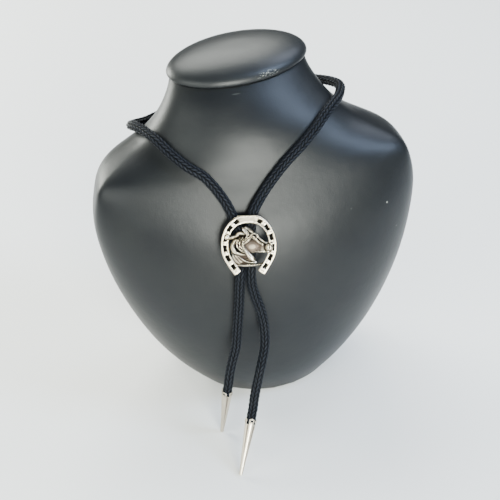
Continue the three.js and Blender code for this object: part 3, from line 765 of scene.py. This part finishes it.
def antiqued_silver():
    """Bright where the relief stands out and black where it lies in, blurred by a fine stain."""
    material = new_material("antiqued_silver_plate")
    relief = add_node(
        material, "ShaderNodeAttribute", {"attribute_name": "relief"}).outputs["Fac"]
    where = add_node(material, "ShaderNodeTexCoord").outputs["Object"]
    stain = add_node(
        material, "ShaderNodeTexNoise", values={"Scale": 1 / STAIN, "Detail": 5},
        links={"Vector": where})
    blurred = add_node(
        material, "ShaderNodeMath", {"operation": "MULTIPLY_ADD"}, {1: 0.10, 2: -0.05},
        {0: stain.outputs["Fac"]})
    shown = add_node(
        material, "ShaderNodeMath", {"operation": "ADD"},
        links={0: relief, 1: blurred.outputs[0]})
    rubbed = add_node(
        material, "ShaderNodeMapRange", {"interpolation_type": "SMOOTHSTEP"},
        {"From Min": -0.05, "From Max": 0.06}, {"Value": shown.outputs[0]})
    colour = add_node(
        material, "ShaderNodeMix", {"data_type": "RGBA"},
        {6: hex_colour("#16130f"), 7: hex_colour("#ddd1b9")}, {0: rubbed.outputs["Result"]})
    tarnish = add_node(
        material, "ShaderNodeAttribute", {"attribute_name": "tarnish"}).outputs["Fac"]
    dulled = add_node(
        material, "ShaderNodeMix", {"data_type": "RGBA"},
        {7: hex_colour("#6f6258")}, {0: tarnish, 6: colour.outputs[2]})
    polish = add_node(
        material, "ShaderNodeMapRange", values={"To Min": 0.6, "To Max": 0.27},
        links={"Value": rubbed.outputs["Result"]})
    rough = add_node(
        material, "ShaderNodeMath", {"operation": "MULTIPLY_ADD"}, {1: 0.3},
        {0: tarnish, 2: polish.outputs["Result"]})
    shader = add_node(
        material, "ShaderNodeBsdfPrincipled", values={"Metallic": 1},
        links={"Base Color": dulled.outputs[2], "Roughness": rough.outputs[0]})
    return close_material(material, shader)


slide.data.materials.append(antiqued_silver())
print("material:", slide.data.materials[-1].name)

# %% [markdown]
# Each tip is a thin cone round a cup that the cord's end sits in. Two crossed round bars give the
# rim its four lobes, two thinner ones pierce them, and four long slanting rods sink the flutes.

# %% Tips
# The tip is modelled a thousand times larger, so these lengths are its millimetres.
TIP_LENGTH, TIP_END, TIP_RIM, TIP_BORE = 33.5, 0.95, 3.4, 3.05
TIP_CUP, LOBE_HEIGHT, HOLE_RADIUS, HOLE_DOWN = 3.6, 2.4, 0.8, 1.5
FLUTE_RADIUS, FLUTE_DEEP, FLUTE_LENGTH, FLUTE_RUNOUT = 1.3, 0.55, 27, 0.1
RING_WIRE, RING_SUNK, RING_CLEAR = 0.17, 0.12, 0.1
CROWN_REACH, ROD_REACH = 1.5 * TIP_RIM, 2 * TIP_RIM
TIP_VOXEL, TIP_ROUNDS, TIP_SPREAD = 0.13, 2, 10
TIP_TURNS = {"left": 45, "right": 0}
CONE_SIDES, ROD_SIDES = 72, 40


def rod(radius, start, end):
    """A round rod between two points."""
    start, end = Vector(start), Vector(end)
    deselect()
    bpy.ops.mesh.primitive_cylinder_add(
        vertices=ROD_SIDES, radius=radius, depth=(end - start).length,
        location=(start + end) / 2, rotation=(end - start).to_track_quat("Z", "Y").to_euler())
    return bpy.context.active_object


def cut_with(body, tool):
    """Cuts the tool out of the body and uses it up."""
    apply_modifier(body, "BOOLEAN", operation="DIFFERENCE", solver="MANIFOLD", object=tool)
    bpy.data.objects.remove(tool)


def cut_crossed_rods(body, radius, down):
    """Cuts two level rods that cross at a depth below the crown."""
    for across in (Vector((1, 0, 0)), Vector((0, 1, 0))):
        middle, reach = Vector((0, 0, -down)), across * ROD_REACH
        cut_with(body, rod(radius, middle - reach, middle + reach))


def model_tip():
    """A tip with its crown at the origin and its cone down -Z."""
    deselect()
    bpy.ops.mesh.primitive_cone_add(
        vertices=CONE_SIDES, radius1=TIP_END, radius2=TIP_RIM, depth=TIP_LENGTH,
        location=(0, 0, -TIP_LENGTH / 2))
    cone = bpy.context.active_object
    bpy.ops.object.transform_apply(location=True, rotation=True, scale=True)
    notches = rod(CROWN_REACH, (0, 0, -LOBE_HEIGHT), (0, 0, LOBE_HEIGHT))
    cut_crossed_rods(notches, TIP_RIM * math.sin(math.pi / 4), LOBE_HEIGHT)
    cut_with(cone, notches)
    cut_with(cone, rod(TIP_BORE, (0, 0, -TIP_CUP), (0, 0, TIP_CUP)))
    cut_crossed_rods(cone, HOLE_RADIUS, HOLE_DOWN)
    for quarter in range(4):
        turn = (quarter + 0.5) * math.pi / 2
        away = Vector((math.cos(turn), math.sin(turn), 0))
        foot = TIP_RIM + (TIP_END - TIP_RIM) * FLUTE_LENGTH / TIP_LENGTH + FLUTE_RADIUS
        top = away * (TIP_RIM + FLUTE_RADIUS - FLUTE_DEEP)
        low = away * foot + Vector((0, 0, -FLUTE_LENGTH))
        cut_with(cone, rod(FLUTE_RADIUS, top + (top - low) * FLUTE_RUNOUT, low))
    return cone


def rim_ring(quarter):
    """The thin raised ring round a lobe's hole."""
    turn = quarter * math.pi / 2
    out = TIP_RIM - RING_SUNK
    deselect()
    bpy.ops.mesh.primitive_torus_add(
        major_radius=HOLE_RADIUS + RING_CLEAR, minor_radius=RING_WIRE,
        major_segments=32, minor_segments=10,
        location=(out * math.cos(turn), out * math.sin(turn), -HOLE_DOWN),
        rotation=(0, math.pi / 2, turn))
    return bpy.context.active_object


tip_model = model_tip()
join_into(tip_model, [rim_ring(quarter) for quarter in range(4)])
soften(tip_model, TIP_VOXEL, TIP_ROUNDS)
tip_model.data.materials.clear()
tips = {}
for side, turn in TIP_TURNS.items():
    crown, ahead = (Vector(point) for point in ROUTES["cord_end_" + side][-2:])
    tip = tip_model.copy()
    tip.data = tip_model.data.copy()
    tip.name = f"tip_{side}_cone"
    bpy.context.scene.collection.objects.link(tip)
    turned = Vector((0, 0, -1)).rotation_difference(ahead - crown).to_matrix().to_4x4()
    about = Matrix.Rotation(math.radians(turn), 4, "Z")
    tip.data.transform(Matrix.Translation(crown) @ turned @ about @ Matrix.Scale(MM, 4))
    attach(tip, "root")
    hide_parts("tip_" + side)
    relief_depths(tip, TIP_SPREAD)
    tips[side] = tip
bpy.data.objects.remove(tip_model)
print("tips:", count_triangles(tips["left"]), "triangles each")

# %% [markdown]
# The cord's loop ends in the clip behind the slide, and each of the two ends hangs to its tip.

# %% Each cord's side, read from its name
for name, (obj, line, length) in cords.items():
    side = name.removeprefix("cord_end_")
print("cords declared:", len(cords))

# %% [markdown]
# The tips are satin nickel, with painted shade where their surface lies in. The clip behind the
# slide is plain steel, painted dark as the shade behind the slide.


# %% Satin nickel with painted shade, and the clip's steel painted dark as shade
SCUFF = 3 * MM


def satin_metal(name, colour, painted_shade, roughness):
    """Metal with painted shade: darker where the surface lies in, such as a flute or a hole's wall.
    """
    material = new_material(name)
    where = add_node(material, "ShaderNodeTexCoord").outputs["Object"]
    scuffs = add_node(
        material, "ShaderNodeTexNoise", values={"Scale": 1 / SCUFF, "Detail": 4},
        links={"Vector": where})
    rough = add_node(
        material, "ShaderNodeMapRange",
        values={"To Min": roughness - 0.06, "To Max": roughness + 0.08},
        links={"Value": scuffs.outputs["Fac"]})
    relief = add_node(
        material, "ShaderNodeAttribute", {"attribute_name": "relief"}).outputs["Fac"]
    raised = add_node(
        material, "ShaderNodeMapRange", {"interpolation_type": "SMOOTHSTEP"},
        {"From Min": -0.03, "From Max": 0.01}, {"Value": relief})
    # Painted shade: the colour turns to the shade colour where the relief lies in.
    tone = add_node(
        material, "ShaderNodeMix", {"data_type": "RGBA"},
        {6: hex_colour(painted_shade), 7: hex_colour(colour)}, {0: raised.outputs["Result"]})
    shader = add_node(
        material, "ShaderNodeBsdfPrincipled", values={"Metallic": 1},
        links={"Base Color": tone.outputs[2], "Roughness": rough.outputs["Result"]})
    return close_material(material, shader)


nickel = satin_metal("satin_nickel", "#cdc2b0", "#5c5145", 0.34)
# Painted shade: the clip's steel is drawn dark for the shade behind the slide.
clip_painted_shade = satin_metal("steel_painted_dark_as_shade", "#2b2b2d", "#2b2b2d", 0.5)
for tip in tips.values():
    tip.data.materials.append(nickel)
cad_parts["slide_clip"].material_slots[0].material = clip_painted_shade
print("materials:", nickel.name, "and", clip_painted_shade.name)

# %% [markdown]
# A plain pale floor and six soft lights. Two stand in front and on the left for the chest and the
# metal, one high behind for the cap and shoulders, one low behind on the left, and two cooler
# ones high on the right. A faint pale surround fills what they leave.


# %% Floor and lights
LIGHT_DISTANCE = 1.1
FLOOR_SIDE, FLOOR_DROP = 8, 0.2 * MM
SURROUND = 0.1


def pale_floor():
    """A matt floor just under the bust's base."""
    deselect()
    bpy.ops.mesh.primitive_plane_add(size=FLOOR_SIDE, location=(0, 0, -FLOOR_DROP))
    floor = bpy.context.active_object
    floor.name = "floor"
    material = new_material("pale_floor")
    shader = add_node(
        material, "ShaderNodeBsdfPrincipled",
        values={"Base Color": hex_colour("#e9e9e8"), "Roughness": 0.9})
    floor.data.materials.append(close_material(material, shader))


# Where each light stands as seen from the bust, in degrees, with its size in metres and power.
LIGHTS = [
    {"name": "front", "azimuth": 5, "elevation": 19, "size": (0.42, 0.36),
     "watts": 26, "colour": "#fbfff6"},
    {"name": "left_front", "azimuth": -55, "elevation": 26, "size": (1.0, 0.7),
     "watts": 13, "colour": "#f8fff8"},
    {"name": "behind", "azimuth": 180, "elevation": 48, "size": (0.75, 0.6),
     "watts": 18, "colour": "#fbfff8"},
    {"name": "left_behind", "azimuth": 225, "elevation": 13, "size": (0.5, 0.5),
     "watts": 20, "colour": "#fbfff6"},
    {"name": "right_high", "azimuth": 68, "elevation": 46, "size": (0.3, 0.5),
     "watts": 12, "colour": "#c4dcff"},
    {"name": "right_behind", "azimuth": 120, "elevation": 50, "size": (0.4, 0.4),
     "watts": 6, "colour": "#dfeaff"},
]


def soft_light(name, azimuth, elevation, size, watts, colour):
    """An evenly bright rectangle that faces the bust."""
    data = bpy.data.lights.new(name, "AREA")
    data.shape, data.size, data.size_y = "RECTANGLE", *size
    data.energy, data.color = watts, hex_colour(colour)[:3]
    light = bpy.data.objects.new(name, data)
    turn, rise = math.radians(azimuth), math.radians(elevation)
    away = Vector((
        math.sin(turn) * math.cos(rise), -math.cos(turn) * math.cos(rise), math.sin(rise)))
    light.location = LOOK_AT + away * LIGHT_DISTANCE
    light.rotation_mode = "QUATERNION"
    light.rotation_quaternion = away.to_track_quat("Z", "Y")
    bpy.context.scene.collection.objects.link(light)


def pale_surroundings(strength):
    """A faint even light from all sides."""
    world = bpy.data.worlds.new("studio")
    world.use_nodes = True
    background = world.node_tree.nodes["Background"]
    background.inputs["Color"].default_value = hex_colour("#ffffff")
    background.inputs["Strength"].default_value = strength
    bpy.context.scene.world = world


pale_floor()
for light in LIGHTS:
    soft_light(**light)
pale_surroundings(SURROUND)
print("lights:", len(LIGHTS))
